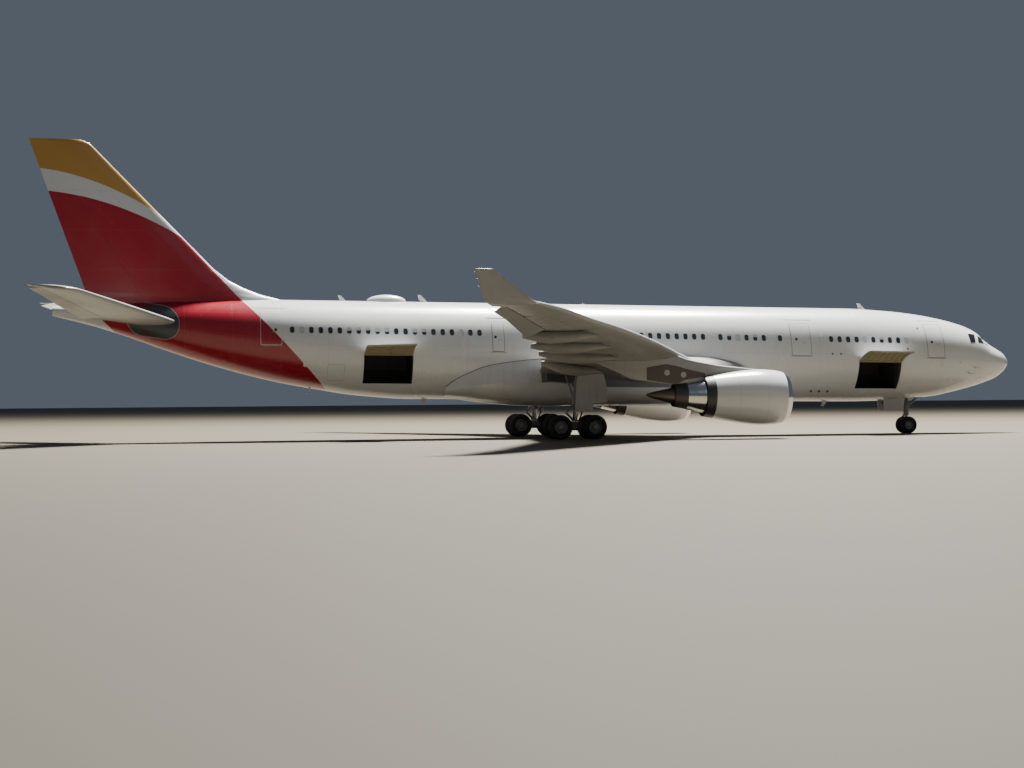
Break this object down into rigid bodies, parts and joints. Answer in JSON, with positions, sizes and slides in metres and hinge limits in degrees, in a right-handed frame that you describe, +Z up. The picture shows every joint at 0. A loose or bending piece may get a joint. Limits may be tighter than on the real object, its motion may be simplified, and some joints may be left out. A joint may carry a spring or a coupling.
{
  "type": "wide body airliner, 1:2 scale model",
  "caption": "Half-size model of a twin-engined wide body airliner on its landing gear, with turning wheels and fans, a steered nose gear and open cargo doors.",
  "frame": {"origin": "on the ground, midway between nose and fin tip and midway between the wing tips", "axes": "+X forward to the nose, +Y to port, +Z up from the ground that the tyres stand on"},
  "size_m": [29.41, 30.1424, 8.5605],
  "materials": {
    "white_paint": "gloss",
    "grey_paint": "satin",
    "red_paint": "gloss",
    "gear_paint": "satin",
    "bare_metal": "polished",
    "dark_metal": "satin",
    "fan_metal": "satin",
    "tyre": "matte",
    "cockpit_glass": "gloss"
  },
  "bodies": {
    "airframe": {"radome": "white_paint", "fuselage_front": "white_paint", "fuselage_centre": "white_paint", "fuselage_rear": "white_paint", "tail_cone": "white_paint", "belly_fairing": "grey_paint", "cockpit_glazing": "cockpit_glass", "antenna_dome": "white_paint", "fin": "red_paint", "rudder": "red_paint", "tailplane_right": "grey_paint", "tailplane_left": "grey_paint", "elevator_right": "grey_paint", "elevator_left": "grey_paint", "wing_right": "grey_paint", "wing_left": "grey_paint", "winglet_right": "grey_paint", "winglet_left": "grey_paint", "flap_inboard_right": "grey_paint", "flap_inboard_left": "grey_paint", "flap_outboard_right": "grey_paint", "flap_outboard_left": "grey_paint", "aileron_right": "grey_paint", "aileron_left": "grey_paint", "flap_track_fairing_1_right": "grey_paint", "flap_track_fairing_1_left": "grey_paint", "flap_track_fairing_2_right": "grey_paint", "flap_track_fairing_2_left": "grey_paint", "flap_track_fairing_3_right": "grey_paint", "flap_track_fairing_3_left": "grey_paint", "flap_track_fairing_4_right": "grey_paint", "flap_track_fairing_4_left": "grey_paint", "pylon_right": "white_paint", "pylon_left": "white_paint", "fan_cowl_right": "white_paint", "fan_cowl_left": "white_paint", "engine_core_right": "dark_metal", "engine_core_left": "dark_metal", "core_cowl_right": "bare_metal", "core_cowl_left": "bare_metal", "exhaust_nozzle_right": "dark_metal", "exhaust_nozzle_left": "dark_metal", "main_leg_right": "gear_paint", "main_leg_left": "gear_paint", "bogie_right": "gear_paint", "bogie_left": "gear_paint", "leg_door_right": "white_paint", "leg_door_left": "white_paint", "nose_leg": "gear_paint"},
    "fan_wheel_right": {"fan_right": "fan_metal"},
    "fan_wheel_left": {"fan_left": "fan_metal"},
    "axle_front_right": {"main_wheels_front_right": "tyre"},
    "axle_front_left": {"main_wheels_front_left": "tyre"},
    "axle_rear_right": {"main_wheels_rear_right": "tyre"},
    "axle_rear_left": {"main_wheels_rear_left": "tyre"},
    "nose_steering": {"nose_fork": "gear_paint"},
    "nose_axle": {"nose_wheels": "tyre"},
    "front_cargo_leaf": {"cargo_door_front": "white_paint"},
    "rear_cargo_leaf": {"cargo_door_rear": "white_paint"}
  },
  "joints": [
    {"name": "fan_spin_right", "type": "hinge", "parent": "airframe", "child": "fan_wheel_right", "pos_m": [5.205, -4.685, 1.145], "axis": [0.9997, 0, -0.0236], "continuous": true},
    {"name": "fan_spin_left", "type": "hinge", "parent": "airframe", "child": "fan_wheel_left", "pos_m": [5.205, 4.685, 1.145], "axis": [0.9997, 0, -0.0236], "continuous": true},
    {"name": "axle_front_right_spin", "type": "hinge", "parent": "airframe", "child": "axle_front_right", "pos_m": [0.775, -2.67, 0.345], "axis": [0, 1, 0], "continuous": true},
    {"name": "axle_front_left_spin", "type": "hinge", "parent": "airframe", "child": "axle_front_left", "pos_m": [0.775, 2.67, 0.345], "axis": [0, 1, 0], "continuous": true},
    {"name": "axle_rear_right_spin", "type": "hinge", "parent": "airframe", "child": "axle_rear_right", "pos_m": [-0.215, -2.67, 0.345], "axis": [0, 1, 0], "continuous": true},
    {"name": "axle_rear_left_spin", "type": "hinge", "parent": "airframe", "child": "axle_rear_left", "pos_m": [-0.215, 2.67, 0.345], "axis": [0, 1, 0], "continuous": true},
    {"name": "nose_steer", "type": "hinge", "parent": "airframe", "child": "nose_steering", "pos_m": [11.37, 0, 0.64], "axis": [0, 0, 1], "range_deg": [-72, 72]},
    {"name": "nose_axle_spin", "type": "hinge", "parent": "nose_steering", "child": "nose_axle", "pos_m": [11.37, 0, 0.26], "axis": [0, 1, 0], "continuous": true},
    {"name": "front_cargo_hinge", "type": "hinge", "parent": "airframe", "child": "front_cargo_leaf", "pos_m": [9.995, -1.36349, 2.18407], "axis": [0.9995, 0.0289, -0.0132], "range_deg": [0, 135.9]},
    {"name": "rear_cargo_hinge", "type": "hinge", "parent": "airframe", "child": "rear_cargo_leaf", "pos_m": [-4.795, -1.37534, 2.4393], "axis": [0.9997, -0.0202, -0.0132], "range_deg": [0, 133.1]}
  ]
}
